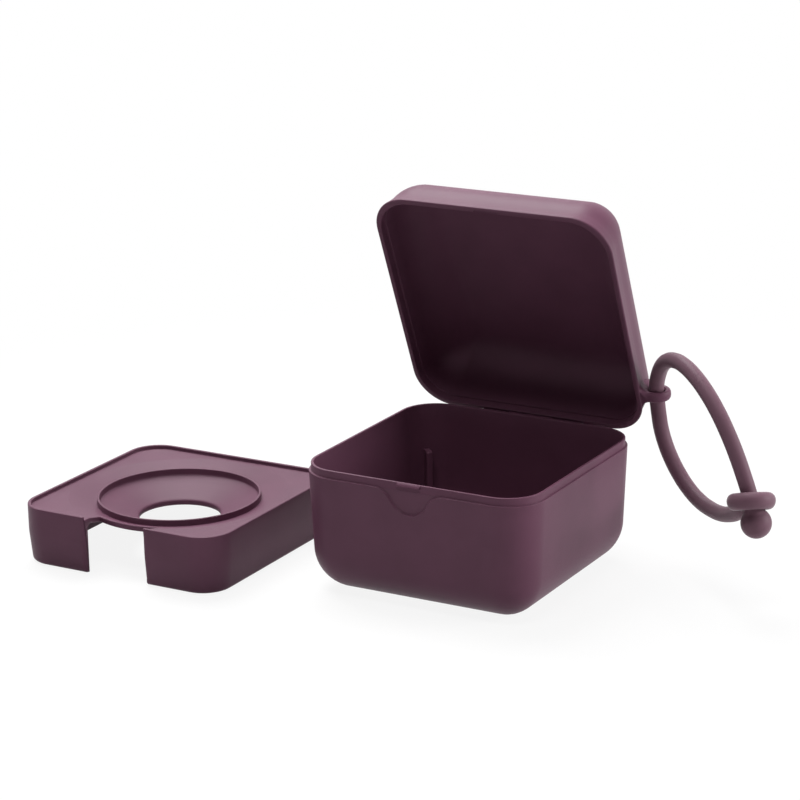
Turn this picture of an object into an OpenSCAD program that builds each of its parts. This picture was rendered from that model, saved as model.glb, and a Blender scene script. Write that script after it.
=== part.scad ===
// Pacifier sterilizer case: a square base with a hinged lid, a lift-out tray and a carrying strap.
// Millimetres. Origin: centre of the base's flat underside. +X right, +Y to the hinge, +Z up.
// The rest pose has the lid part open, the tray standing on its left and the strap held out.

/* [Base] */
// Width and depth of the base at its ledge
case_w = 80; // [72:1:96]
// Corner radius of the base in plan
case_corner = 12.5; // [11:0.5:15]
// Height of the ledge that the lid sits on
base_h = 38.7; // [34:0.1:50]
// Radius of the rounded bottom edge
base_edge = 13.7; // [10:0.1:15]
// How far the side walls lean in on their way down
base_draft = 1.1; // [0.5:0.1:2]
// Thickness of the floor
floor_t = 1.8; // [1.4:0.1:2.6]
// Width of the ledge outside the lip
ledge_w = 0.7; // [0.6:0.05:1]
// Thickness of the lip
lip_t = 0.9; // [0.8:0.05:1.4]
// Height of the lip above the ledge
lip_h = 2.4; // [2.1:0.1:2.8]
// Radius of the thumb recess in the front wall
thumb_r = 7; // [5:0.5:9]
// Depth of the thumb recess below the ledge
thumb_depth = 7.6; // [6.5:0.1:10]
// Radius of the shoulders beside the thumb recess
thumb_shoulder_r = 7; // [4:0.5:8]
// Length of the catch bead on the front of the lip
catch_w = 8; // [5:0.5:14]
// Height of the catch bead
catch_h = 1.4; // [1:0.1:1.6]
// How far the catch bead stands out from the lip
catch_out = 0.6; // [0.3:0.05:0.8]
// Height of the corner ribs that carry the tray
rib_top = 26; // [20:0.5:28]
// Thickness of a corner rib
rib_t = 2; // [1.4:0.1:3]
// How far a corner rib reaches in from its corner
rib_reach = 4.5; // [3.5:0.1:6]

/* [Lid] */
// How far the lid's rim stands out past the base on each side
lid_over = 1.1; // [0.8:0.05:1.4]
// Height of the lid from its rim
lid_h = 21.9; // [20:0.1:30]
// Radius of the lid's rounded top edge
lid_edge = 16.4; // [12:0.1:17]
// How far the lid's walls lean in on their way to the top edge
lid_draft = 1.2; // [0.5:0.1:1.6]
// Thickness of the lid's walls at the rim
lid_wall = 2.3; // [2:0.1:2.8]
// How far the inside of the lid's walls leans in
lid_in_draft = 0.5; // [0.2:0.1:1]
// Thickness of the lid's top
lid_top_t = 2.2; // [1.6:0.1:3]
// Depth of the rebate that takes the lip
rebate_depth = 2.7; // [2.6:0.05:3.2]
// Gap all round between the lip and the lid's rebate
lip_clear = 0.15; // [0.12:0.01:0.25]
// Gap between the ledge and the closed lid
seat_gap = 0.15; // [0.1:0.01:0.3]
// Opening angle of the lid at rest
lid_open = 67; // [50:1:85]

/* [Hinge] */
// Distance of the hinge axis behind the base's rear wall
hinge_back = 2.4; // [2.3:0.05:2.8]
// Distance of the hinge axis below the ledge
hinge_drop = 0.8; // [0.6:0.05:1.4]
// Outer radius of the hinge knuckles
knuckle_r = 2.2; // [2:0.05:2.5]
// Radius of the hinge pin
pin_r = 0.9; // [0.7:0.05:1.2]
// Radial gap between the pin and the base's knuckles
pin_seat = 0.02; // [0.01:0.01:0.03]
// Radial gap between the pin and the lid's knuckle
pin_clear = 0.06; // [0.04:0.01:0.08]
// Width of the whole hinge
hinge_w = 36; // [28:1:50]
// Width of the lid's middle knuckle
lid_knuckle_w = 16; // [10:0.5:22]
// Gap between neighbouring knuckles
knuckle_gap = 0.3; // [0.2:0.05:0.6]
// Height of the brackets that carry the base's knuckles
bracket_h = 6.5; // [5:0.5:10]
// Height of the arm that carries the lid's knuckle
arm_h = 6; // [4:0.5:8]
// Radial gap between a knuckle and the wall that is relieved round it
relief_clear = 0.3; // [0.2:0.05:0.5]

/* [Strap] */
// Diameter of the strap's cord
cord_d = 4.9; // [4.5:0.1:5.2]
// Radial gap between the cord and the lug's hole
lug_clear = 0.3; // [0.2:0.05:0.4]
// Radial thickness of the lug's ring
lug_ring_t = 1.8; // [1.4:0.1:2.2]
// Length of the lug's ring along its hole
lug_len = 3.4; // [2.4:0.1:4]
// Angle that the lug's hole is tilted from the line of the lid's rim
lug_lean = 18; // [10:1:20]
// Distance of the lug's hole from the side of the lid's rim
lug_stand = 3.3; // [3:0.1:6]
// Distance of the lug's middle from the back of the lid's rim
lug_back = 13.2; // [11:0.1:30]
// Distance of the lug's hole from the plane of the lid's rim
lug_rise = 4.9; // [4.9:0.1:6]
// Angle that the strap is swung down towards the front at rest
strap_swing = 38; // [20:1:60]
// Angle that the strap's loop leans in the lug, the same way as the hole
strap_lean = 10; // [8:1:14]
// Diameter of the hole in the strap's eye
eye_hole = 5.6; // [5.5:0.1:6.5]
// Thickness of the strap's eye
eye_t = 4.6; // [4:0.1:4.8]
// Diameter of the ball on the strap's end
ball_d = 9.5; // [8.5:0.1:11]

/* [Tray] */
// Gap all round between the tray and the base's inside
tray_clear = 0.6; // [0.4:0.05:1]
// Height of the tray
tray_h = 19; // [17:0.5:22]
// Thickness of the tray's skirt
skirt_t = 2.8; // [2:0.1:3.2]
// How far the skirt leans in towards its lower edge
skirt_draft = 0.8; // [0.4:0.1:1.2]
// Height at which the skirt starts to lean in
skirt_lean_h = 10; // [8:0.5:12]
// Radius of the skirt's lower edge
skirt_edge = 1.4; // [0.8:0.1:1.8]
// Width of the raised rim round the tray
rim_w = 1.1; // [0.8:0.05:1.5]
// Height of the raised rim round the tray
rim_h = 1.2; // [0.8:0.1:1.6]
// Thickness of the tray's deck
deck_t = 1.8; // [1.4:0.1:2.2]
// Outer radius of the raised ring on the deck
ring_r = 26.6; // [24:0.1:28]
// Width of the raised ring
ring_w = 0.8; // [0.6:0.05:1.2]
// Height of the raised ring
ring_h = 2; // [1.4:0.1:2.6]
// Depth of the dish at the ring, below the deck's border
ring_depth = 2.4; // [1.8:0.1:3]
// Width of the deck's flat border between the tray's side and the dish
dish_border = 1.8; // [1.5:0.1:4]
// Radius of the central hole
hole_r = 13.2; // [10:0.1:16]
// Depth of the hole's edge below the deck's border
hole_depth = 7.2; // [5:0.1:8]
// Width of the notch in the tray's front
notch_w = 22.6; // [18:0.2:30]
// Distance from the ring to the notch
notch_land = 3.6; // [2:0.1:5]
// Width of each drain slot in the rear skirt
drain_w = 8; // [5:0.5:12]
// Distance between the two drain slots
drain_apart = 41; // [30:1:44]
// Height of a drain slot
drain_h = 5; // [3:0.5:8]
// Distance between the tray and the base at rest
tray_gap = 18.7; // [12:0.1:40]
// How far the tray stands to the front of the base's middle at rest
tray_front = 19.7; // [0:0.1:30]

/* [Hidden] */

PLUM = [0.36, 0.26, 0.32];
PLUM_LIGHT = [0.45, 0.33, 0.39];
PLUM_PALE = [0.53, 0.42, 0.48];
EPS = 0.01;
ARC_STEPS = 10;
EDGE_STEPS = 9;
CORNER_MIN = 2;

// Base: half widths at the ledge, the lip's outside and the cavity
base_half = case_w / 2;
lip_half = base_half - ledge_w;
cavity_half = lip_half - lip_t;
wall_t = ledge_w + lip_t;
lip_top = base_h + lip_h;
lip_corner = case_corner - ledge_w;
cavity_corner = lip_corner - lip_t;
recess_floor_half = base_half - ledge_w;
rib_corner = cavity_half - cavity_corner + cavity_corner * cos(45);

// Thumb recess: centre of its round bottom and of the shoulders beside it
thumb_z = base_h - thumb_depth + thumb_r;
shoulder_z = base_h - thumb_shoulder_r;
shoulder_x = sqrt(pow(thumb_r + thumb_shoulder_r, 2) - pow(thumb_z - shoulder_z, 2));
shoulder_join_z = thumb_z - (thumb_z - shoulder_z) * thumb_r / (thumb_r + thumb_shoulder_r);

// Lid: half widths at the rim's outside, the rebate and the inside
lid_half = base_half + lid_over;
lid_corner = case_corner + 0.1;
rebate_half = lip_half + lip_clear;
lid_in_half = lid_half - lid_wall;
lid_in_corner = lid_corner - lid_wall;
rim_z = base_h + seat_gap;

// Hinge axis
hinge_y = base_half + hinge_back;
hinge_z = base_h - hinge_drop;
side_knuckle_w = (hinge_w - lid_knuckle_w) / 2 - knuckle_gap;
// How far below the axis the brackets start, so that the lid's wall can pass above them
BRACKET_DROP = 0.5;

// Lug: centre of its hole while the lid is closed, and the radii of its hole and its ring
lug_x = lid_half + lug_stand;
lug_y = lid_half - lug_back;
lug_z = rim_z + lug_rise;
lug_hole_r = cord_d / 2 + lug_clear;
lug_r = lug_hole_r + lug_ring_t;

// Strap: its route in its own plane, [out from the lug, along the cord in the lug], from ball to eye
route = [
    [60.2, -17.7], [58.9, -12.8], [56.9, -8.3], [54.2, -3.5], [50.7, 1.8], [46.2, 7.1], [40.7, 12],
    [34.5, 15.8], [28, 18.2], [21.4, 19.1], [15.2, 18.3], [9.8, 15.9], [5.6, 12.3], [2.6, 8], [0.7, 3.8],
    [0, 0], [0, -4], [0.2, -7.5], [0.9, -12.2], [2.9, -16.7], [6.1, -20.6], [10.6, -24], [16.4, -26.6],
    [23, -27.8], [30, -27.4], [37, -25.8], [43.4, -23], [49, -19.4], [52.2, -16.1], [53.4, -13.3]
];
cord_sides = 12;
eye_at = [58.1, -10.9];
eye_ring_r = eye_hole / 2 + eye_t / 2;
// The eye tips out of the strap's plane and towards the run that goes through it
eye_tip = [-16, -29];

// Tray
tray_half = cavity_half - tray_clear;
tray_corner = cavity_corner - tray_clear;
skirt_in_half = tray_half - skirt_t;
deck_z = tray_h - rim_h;
dish_r = tray_half - dish_border;
ring_z = deck_z - ring_depth;
hole_z = deck_z - hole_depth;
// How far the dish's edge reaches into the deck's border
DISH_LAP = 0.4;
tray_at = [-(base_half + tray_gap + tray_half), -tray_front, 0];

// Corner radius that goes with a wall that has moved in by inset
function corner_at(corner, inset) = max(corner - 0.9 * inset, CORNER_MIN);

// Points of a square with round corners at one height
function square_ring(half, corner, z) = [
    for (q = [0:3], i = [0:ARC_STEPS])
        let (a = 90 * q + 90 * i / ARC_STEPS, sx = (q == 0 || q == 3) ? 1 : -1, sy = q < 2 ? 1 : -1)
        [sx * (half - corner) + corner * cos(a), sy * (half - corner) + corner * sin(a), z]
];

// Solid through a stack of rings of equal length, bottom first
module skin(rings) {
    n = len(rings[0]);
    last = (len(rings) - 1) * n;
    points = [for (ring = rings, p = ring) p];
    sides = [
        for (k = [0:len(rings) - 2], i = [0:n - 1])
            let (a = k * n + i, b = k * n + (i + 1) % n)
            each [[a, a + n, b], [b, a + n, b + n]]
    ];
    bottom = [for (i = [0:n - 1]) i];
    top = [for (i = [0:n - 1]) last + n - 1 - i];
    polyhedron(points, concat([bottom], sides, [top]));
}

// Solid bowl shape: round lower edge, leaning walls, square plan with round corners
module bowl(half, corner, low, high, edge, draft) {
    skin(concat(
        [
            for (i = [EDGE_STEPS:-1:0])
                let (a = 90 * i / EDGE_STEPS, inset = draft + edge * (1 - cos(a)))
                square_ring(half - inset, corner_at(corner, inset), low + edge * (1 - sin(a)))
        ],
        [square_ring(half, corner, high)]
    ));
}

// Square with round corners, drawn with true arcs
module round_square(half, corner) {
    square([2 * half, 2 * (half - corner)], center = true);
    square([2 * (half - corner), 2 * half], center = true);
    for (sx = [-1, 1], sy = [-1, 1])
        translate([sx * (half - corner), sy * (half - corner)]) circle(corner, $fn = 64);
}

// Cylinder along X, centred on the hinge axis
module on_hinge(r, w) {
    translate([0, hinge_y, hinge_z]) rotate([0, 90, 0]) cylinder(r = r, h = w, center = true, $fn = 64);
}

// Turns what is drawn on the closed lid to its place on the open lid
module lid_pose() {
    translate([0, hinge_y, hinge_z]) rotate([-lid_open, 0, 0])
        translate([0, -hinge_y, -hinge_z]) children();
}

// Stands the strap's own plane in the lug: its X goes out, its Z along the cord in the lug
module strap_pose() {
    lid_pose() translate([lug_x, lug_y, lug_z]) rotate([-strap_lean, 0, 0])
        rotate([0, strap_swing, 0]) rotate([90, 0, 0]) children();
}

module base_wall() {
    difference() {
        union() {
            bowl(base_half, case_corner, 0, base_h, base_edge, base_draft);
            translate([0, 0, base_h - 1]) linear_extrude(lip_h + 1) round_square(lip_half, lip_corner);
        }
        bowl(cavity_half, cavity_corner, floor_t, lip_top + EPS, base_edge - wall_t, base_draft);
        thumb_recess();
        // room for the lid's knuckle in front of the hinge axis
        on_hinge(knuckle_r + relief_clear, lid_knuckle_w + 2 * knuckle_gap);
    }
}

module thumb_recess() {
    difference() {
        translate([0, -base_half + ledge_w + 1, 0]) rotate([90, 0, 0]) linear_extrude(ledge_w + 3) {
            translate([0, thumb_z]) circle(thumb_r, $fn = 64);
            difference() {
                translate([-shoulder_x, shoulder_join_z])
                    square([2 * shoulder_x, base_h - shoulder_join_z + EPS]);
                for (sx = [-1, 1])
                    translate([sx * shoulder_x, shoulder_z]) circle(thumb_shoulder_r, $fn = 64);
            }
        }
        bowl(recess_floor_half, lip_corner, 0, base_h, base_edge, base_draft);
        translate([-case_w, -recess_floor_half, base_h]) cube([2 * case_w, case_w, 10]);
    }
}

// Wedge on the lip's front: a long slope on top and a short one below
module catch_bead() {
    low = lip_top - catch_h;
    translate([-catch_w / 2, -lip_half, 0]) rotate([90, 0, 90]) linear_extrude(catch_w)
        polygon([[EPS, low], [-catch_out, low + 0.3], [-catch_out, low + 0.5], [EPS, lip_top - 0.1]]);
}

// Fins in the inside corners; the tray's skirt stands on them
module corner_ribs() {
    intersection() {
        bowl(cavity_half + EPS, cavity_corner, floor_t - EPS, base_h, base_edge - wall_t, base_draft);
        for (a = [45:90:315])
            rotate([0, 0, a]) translate([rib_corner * sqrt(2) - rib_reach, -rib_t / 2, 0])
                cube([rib_reach + 5, rib_t, rib_top]);
    }
}

module side_knuckles() {
    difference() {
        for (sx = [-1, 1])
            translate([sx * (hinge_w - side_knuckle_w) / 2, 0, 0]) {
                on_hinge(knuckle_r, side_knuckle_w);
                hull() {
                    on_hinge(knuckle_r - EPS, side_knuckle_w);
                    translate([-side_knuckle_w / 2, base_half - 1, hinge_z - BRACKET_DROP - bracket_h])
                        cube([side_knuckle_w, 0.7, bracket_h]);
                }
            }
        on_hinge(pin_r + pin_seat, hinge_w + 1);
        bowl(base_half - wall_t, cavity_corner, floor_t, lip_top, base_edge - wall_t, base_draft);
    }
}

module base() {
    color(PLUM) {
        base_wall();
        catch_bead();
        corner_ribs();
        side_knuckles();
    }
}

// The lid as it lies when closed
module lid_closed() {
    difference() {
        union() {
            translate([0, 0, rim_z + lid_h]) mirror([0, 0, 1])
                bowl(lid_half, lid_corner, 0, lid_h, lid_edge, lid_draft);
            lid_knuckle();
        }
        translate([0, 0, rim_z + lid_h]) mirror([0, 0, 1])
            bowl(lid_in_half, lid_in_corner, lid_top_t, lid_h + EPS, lid_edge - lid_wall, lid_in_draft);
        translate([0, 0, rim_z - 1]) linear_extrude(rebate_depth + 1)
            round_square(rebate_half, lip_corner + lip_clear);
        catch_pocket();
        // room for the base's knuckles while the lid turns
        for (sx = [-1, 1])
            translate([sx * (hinge_w - side_knuckle_w) / 2, 0, 0])
                on_hinge(knuckle_r + relief_clear, side_knuckle_w + 2 * knuckle_gap);
        on_hinge(pin_r + pin_clear, lid_knuckle_w + 1);
    }
}

// Pocket in the rim's front that the catch bead sits in, open below so that the rim can pass it
module catch_pocket() {
    translate([-catch_w / 2 - 0.3, -lip_half - catch_out - lip_clear, rim_z - 1])
        cube([catch_w + 0.6, catch_out + lip_clear + 1, rebate_depth + 1]);
}

module lid_knuckle() {
    on_hinge(knuckle_r, lid_knuckle_w);
    hull() {
        on_hinge(knuckle_r - EPS, lid_knuckle_w);
        translate([-lid_knuckle_w / 2, lid_half - 1, rim_z + 1]) cube([lid_knuckle_w, 0.6, arm_h]);
    }
}

module lid() {
    color(PLUM) lid_pose() lid_closed();
}

module hinge_pin() {
    color(PLUM_LIGHT) on_hinge(pin_r, hinge_w);
}

// Puts what is drawn with the hole along Z in the lug's place on the closed lid
module lug_place() {
    translate([lug_x, lug_y, lug_z]) rotate([90 - lug_lean, 0, 0]) children();
}

// D-shaped eyelet on the lid's side wall; its hole is rounded towards both ends
module strap_lug() {
    ring_mid = lug_hole_r + lug_ring_t / 2;
    root = lug_stand + lid_draft + 0.4;
    color(PLUM_LIGHT) lid_pose() difference() {
        lug_place() linear_extrude(lug_len, center = true) {
            circle(lug_r, $fn = 64);
            translate([-root, -lug_r]) square([root, 2 * lug_r]);
        }
        lug_place() rotate_extrude($fn = 64) difference() {
            translate([0, -lug_len]) square([ring_mid, 2 * lug_len]);
            translate([ring_mid, 0]) round_bar(lug_ring_t, lug_len);
        }
        translate([0, 0, rim_z + lid_h]) mirror([0, 0, 1])
            bowl(lid_half, lid_corner, 0, lid_h, lid_edge, lid_draft);
    }
}

// Section that the lug's hole is left with: a bar with round ends
module round_bar(w, h) {
    square([w, h - w], center = true);
    for (sy = [-1, 1]) translate([0, sy * (h - w) / 2]) circle(w / 2, $fn = 32);
}

// Unit direction of the route at its point i
function along(i) =
    let (a = route[max(i - 1, 0)], b = route[min(i + 1, len(route) - 1)], d = b - a) d / norm(d);

// Ring of the cord's points round the route's point i
function cord_ring(i) =
    let (d = along(i), across = [d[1], -d[0]])
    [
        for (k = [0:cord_sides - 1])
            let (a = 360 * k / cord_sides, s = cord_d / 2 * cos(a))
            [route[i][0] + s * across[0], cord_d / 2 * sin(a), route[i][1] + s * across[1]]
    ];

module strap_cord() {
    color(PLUM_PALE) strap_pose() skin([for (i = [len(route) - 1:-1:0]) cord_ring(i)]);
}

module strap_eye() {
    color(PLUM_PALE) strap_pose()
        translate([eye_at[0], 0, eye_at[1]]) rotate([eye_tip[0], eye_tip[1], 0])
        rotate_extrude($fn = 64) translate([eye_ring_r, 0]) circle(eye_t / 2, $fn = 32);
}

module strap_ball() {
    color(PLUM_PALE) strap_pose() translate([route[0][0], 0, route[0][1]]) sphere(ball_d / 2, $fn = 48);
}

// Deck inside its flat border: a dish with a raised ring, and a hole in the middle
module tray_dish() {
    rotate_extrude($fn = 96) polygon([
        [hole_r, hole_z], [ring_r - ring_w, ring_z], [ring_r - ring_w, ring_z + ring_h],
        [ring_r, ring_z + ring_h], [ring_r, ring_z], [dish_r, deck_z], [dish_r + DISH_LAP, deck_z],
        [dish_r + DISH_LAP, deck_z - deck_t], [dish_r, deck_z - deck_t], [ring_r, ring_z - deck_t],
        [hole_r, hole_z - deck_t]
    ]);
}

// Skirt, deck border and raised rim in one, hollow below the deck
module tray_frame() {
    difference() {
        skirt_solid();
        translate([0, 0, -EPS]) linear_extrude(deck_z - deck_t + EPS)
            round_square(skirt_in_half, tray_corner - skirt_t);
        translate([0, 0, deck_z]) linear_extrude(rim_h + EPS)
            round_square(tray_half - rim_w, tray_corner - rim_w);
        translate([0, 0, deck_z - deck_t - EPS]) cylinder(r = dish_r, h = deck_t + 2 * EPS, $fn = 96);
    }
}

module skirt_solid() {
    skin(concat(
        [
            for (i = [EDGE_STEPS:-3:0])
                let (a = 90 * i / EDGE_STEPS, inset = skirt_draft + skirt_edge * (1 - cos(a)))
                square_ring(tray_half - inset, corner_at(tray_corner, inset), skirt_edge * (1 - sin(a)))
        ],
        [
            square_ring(tray_half, tray_corner, skirt_lean_h),
            square_ring(tray_half, tray_corner, tray_h)
        ]
    ));
}

// What the front notch takes out of the deck and the skirt
module front_notch() {
    difference() {
        translate([-notch_w / 2, -tray_half - 1, -1]) cube([notch_w, tray_half + 1, tray_h + 2]);
        translate([0, 0, -2]) cylinder(r = ring_r + notch_land, h = tray_h + 4, $fn = 96);
    }
}

module drain_slots() {
    for (sx = [-1, 1])
        translate([sx * (drain_apart + drain_w) / 2 - drain_w / 2, tray_half - skirt_t - 1, -1])
            cube([drain_w, skirt_t + 2, drain_h + 1]);
}

module tray() {
    color(PLUM_LIGHT) translate(tray_at) difference() {
        union() {
            tray_dish();
            tray_frame();
        }
        front_notch();
        drain_slots();
    }
}

base();
lid();
hinge_pin();
strap_lug();
strap_cord();
strap_eye();
strap_ball();
tray();
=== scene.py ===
"""Looks of a square steriliser case: base, hinged lid, lift-out tray and a soft carrying strap.

Shapes are worked out in millimetres in the part's own frame (origin under the base, +Y to the hinge)
and written to meshes in metres. Base and lid are stacks of rings round a square plan. The tray is one
section swept round such a plan, left open at its front notch and closed there by rounded sides."""

import math

import bmesh
import bpy
import numpy as np
from mathutils import Matrix, Vector
from mathutils.geometry import convex_hull_2d


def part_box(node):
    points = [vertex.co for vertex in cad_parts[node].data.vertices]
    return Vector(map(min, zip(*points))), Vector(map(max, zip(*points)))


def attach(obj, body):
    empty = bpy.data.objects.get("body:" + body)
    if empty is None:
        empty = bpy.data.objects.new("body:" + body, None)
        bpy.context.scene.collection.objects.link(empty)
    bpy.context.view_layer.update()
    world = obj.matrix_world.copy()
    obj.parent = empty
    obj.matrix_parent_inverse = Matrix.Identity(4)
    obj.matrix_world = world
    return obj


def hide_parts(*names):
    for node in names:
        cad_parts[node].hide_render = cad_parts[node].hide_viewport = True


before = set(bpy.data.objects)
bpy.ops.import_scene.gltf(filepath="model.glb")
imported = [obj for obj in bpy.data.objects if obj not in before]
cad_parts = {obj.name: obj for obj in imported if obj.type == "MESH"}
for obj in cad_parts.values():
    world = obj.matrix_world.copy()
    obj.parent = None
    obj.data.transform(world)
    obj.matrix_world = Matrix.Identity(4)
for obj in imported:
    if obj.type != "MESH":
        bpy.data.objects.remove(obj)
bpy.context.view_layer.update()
MM = 0.001

# ---------------------------------------------------------------- sizes, in millimetres and degrees
# Camera of the photograph: its square frame in pixels, and its distance from the part's origin
FRAME_PX = 800
FOCAL_PX = 2763.8
DISTANCE = 872.7
AZIMUTH, ELEVATION, ROLL = 29.61, 16.77, -0.87
ORIGIN_PX = (470.83, 572.18)
SENSOR_W = 36

# Base
BASE_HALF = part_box("base")[1].x / MM
LIP_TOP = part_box("base")[1].z / MM
LIP_H = 2.4
LEDGE_Z = LIP_TOP - LIP_H
LEDGE_W = 0.7
LIP_T = 0.9
LIP_HALF = BASE_HALF - LEDGE_W
CAVITY_HALF = LIP_HALF - LIP_T
CASE_CORNER = 12.5
LIP_CORNER = CASE_CORNER - LEDGE_W
CAVITY_CORNER = LIP_CORNER - LIP_T
BASE_EDGE = 13.7
CAVITY_EDGE = BASE_EDGE - LEDGE_W - LIP_T
BASE_DRAFT = 1.1
FLOOR_T = 1.8
CORNER_MIN, CORNER_LOSS = 2.0, 0.9  # least corner radius, and its loss for each millimetre of inset
LEDGE_SOFT, LIP_FOOT, LIP_SOFT, CAVITY_SOFT = 0.28, 0.1, 0.25, 0.3  # edge radii, from outside in
THUMB_DEPTH, THUMB_R = 7.6, 7.0
THUMB_Z = LEDGE_Z - THUMB_DEPTH + THUMB_R
SHOULDER_R = 7.0
SHOULDER_Z = LEDGE_Z - SHOULDER_R
SHOULDER_X = math.sqrt((THUMB_R + SHOULDER_R) ** 2 - (THUMB_Z - SHOULDER_Z) ** 2)
FINE, FINE_HALF, FINE_DEPTH = 0.12, 13.56, 8.2  # close grid of the front wall round the thumb recess
CATCH_HALF, CATCH_H, CATCH_OUT = 4.0, 1.4, 0.6
RIB_TOP, RIB_T, RIB_REACH = 26.0, 2.0, 4.5

# Lid, closed
LID_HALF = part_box("lid")[1].x / MM
LID_CORNER = CASE_CORNER + 0.1
LID_H = 21.9
LID_EDGE = 16.4
LID_DRAFT = 1.2
LID_WALL = 2.3
LID_IN_DRAFT = 0.5
LID_TOP_T = 2.2
REBATE_H = 2.7
RIM_SOFT, MOUTH_SOFT, REBATE_SOFT, STEP_SOFT = 0.45, 0.3, 0.1, 0.15  # edge radii, from outside in
LIP_CLEAR, SEAT_GAP, POCKET_GAP = 0.15, 0.15, 0.3
RIM_Z = LEDGE_Z + SEAT_GAP
LID_OPEN = 67.0

# Hinge
HINGE_BACK, HINGE_DROP = 2.4, 0.8
HINGE = (BASE_HALF + HINGE_BACK, LEDGE_Z - HINGE_DROP)  # (Y, Z) of its axis
KNUCKLE_R, RELIEF_GAP = 2.2, 0.06
RELIEF_R = KNUCKLE_R + RELIEF_GAP
PIN_R = 0.9
PIN_SEAT, PIN_CLEAR = 0.02, 0.06
HINGE_W = 36.0
LID_KNUCKLE_W = 16.0
KNUCKLE_GAP = 0.3
SIDE_KNUCKLE_W = (HINGE_W - LID_KNUCKLE_W) / 2 - KNUCKLE_GAP
BRACKET_H, BRACKET_DROP = 6.1, 0.9
ARM_H, ARM_RISE = 6.0, 1.0

# Eyelet and strap
CORD_D = 4.9
LUG_STAND, LUG_BACK, LUG_RISE = 3.3, 13.2, 4.9
LUG_AT = (LID_HALF + LUG_STAND, LID_HALF - LUG_BACK, RIM_Z + LUG_RISE)
LUG_CLEAR = 0.3
LUG_HOLE_R = CORD_D / 2 + LUG_CLEAR
LUG_RING_T = 1.8
LUG_R = LUG_HOLE_R + LUG_RING_T
LUG_LEN = 3.4
LUG_LEAN = 18.0
LUG_ROOT = 4.9
LUG_FILLET = 2.8
LUG_RIM_GAP = 0.35  # height of the eyelet's cut-off underside above the rim
STRAP_SWING, STRAP_LEAN = 38.0, 10.0
STRAP_ROUTE = [  # given in the loop's plane: (out from the eyelet, up through its hole)
    (60.2, -17.7), (58.9, -12.8), (56.9, -8.3), (54.2, -3.5), (50.7, 1.8), (46.2, 7.1), (40.7, 12),
    (34.5, 15.8), (28, 18.2), (21.4, 19.1), (15.2, 18.3), (9.8, 15.9), (5.6, 12.3), (2.6, 8), (0.7, 3.8),
    (0, 0), (0, -4), (0.2, -7.5), (0.9, -12.2), (2.9, -16.7), (6.1, -20.6), (10.6, -24), (16.4, -26.6),
    (23, -27.8), (30, -27.4), (37, -25.8), (43.4, -23), (49, -19.4), (52.2, -16.1), (53.4, -13.3),
]
EYE_AT = (58.1, -10.9)
EYE_HOLE, EYE_T = 5.6, 4.6
EYE_LOW, EYE_HIGH = 2.9, 2.4  # how far the collar reaches below and above its middle
EYE_TIP = (-16.0, -29.0)  # turns about the loop's X and Y
EYE_STUB = 4  # points of the route that run into the collar
MELT_VOXEL, MELT_FACTOR, MELT_PASSES = 0.28, 0.6, 12  # remesh and smoothing that melt collar and cord
BALL_D = 9.5
NECK_PROUD, NECK_TOP = 0.05, 6.4

# Tray
tray_low, tray_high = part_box("tray")
TRAY_AT = ((tray_low.x + tray_high.x) / 2 / MM, (tray_low.y + tray_high.y) / 2 / MM)
TRAY_HALF = (tray_high.x - tray_low.x) / 2 / MM
TRAY_H = tray_high.z / MM
TRAY_CORNER = 10.3
SKIRT_T, SKIRT_DRAFT, SKIRT_LEAN_H, SKIRT_EDGE = 2.8, 0.8, 10.0, 1.4
RIM_W, RIM_H = 1.1, 1.2
DECK_T = 1.8
DECK_Z = TRAY_H - RIM_H
RING_R, RING_W, RING_H, RING_DEPTH = 26.6, 0.8, 2.0, 2.4
RING_Z = DECK_Z - RING_DEPTH
DISH_BORDER = 1.8
DISH_R = TRAY_HALF - DISH_BORDER
HOLE_R, HOLE_DEPTH = 13.2, 7.2
HOLE_Z = DECK_Z - HOLE_DEPTH
NOTCH_HALF, NOTCH_LAND = 11.3, 3.6
NOTCH_R = RING_R + NOTCH_LAND
NOTCH_SOFT = 0.35
NOTCH_EDGE_X, NOTCH_EDGE_R = NOTCH_HALF + NOTCH_SOFT, NOTCH_R - NOTCH_SOFT
NOTCH_ANGLE = math.asin(NOTCH_EDGE_X / NOTCH_EDGE_R)
BEND_HALF = 26.0  # the front's columns are bent towards the notch's side as far out as this
DRAIN_X, DRAIN_W, DRAIN_H, DRAIN_SOFT = 24.5, 8.0, 5.0, 1.2

# Colours, linear
PLUM = (0.138, 0.055, 0.092)
PLUM_STRAP = (0.175, 0.088, 0.122)
FLOOR_PALE = (0.65, 0.65, 0.65)
FLOOR_SHADOW = 0.12
SKY_TINT, SKY_STRENGTH = (1, 0.97, 0.99), 0.03
WHITE = (1, 1, 1, 1)

# Stage, in metres
FLOOR_HALF, FLOOR_Z = 3.0, -0.0002
FADE_FROM, FADE_TO = 0.12, 0.34
LIGHT_AIM = (0, 0, 0.04)


# ---------------------------------------------------------------- camera
def view_axes():
    """Right, up and back of the photograph's camera."""
    az, el, roll = (math.radians(a) for a in (AZIMUTH, ELEVATION, ROLL))
    right = Vector((math.cos(az), math.sin(az), 0))
    up = Vector((-math.sin(az) * math.sin(el), math.cos(az) * math.sin(el), math.cos(el)))
    back = right.cross(up)
    turned_right = right * math.cos(roll) + up * math.sin(roll)
    return turned_right, up * math.cos(roll) - right * math.sin(roll), back


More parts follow.
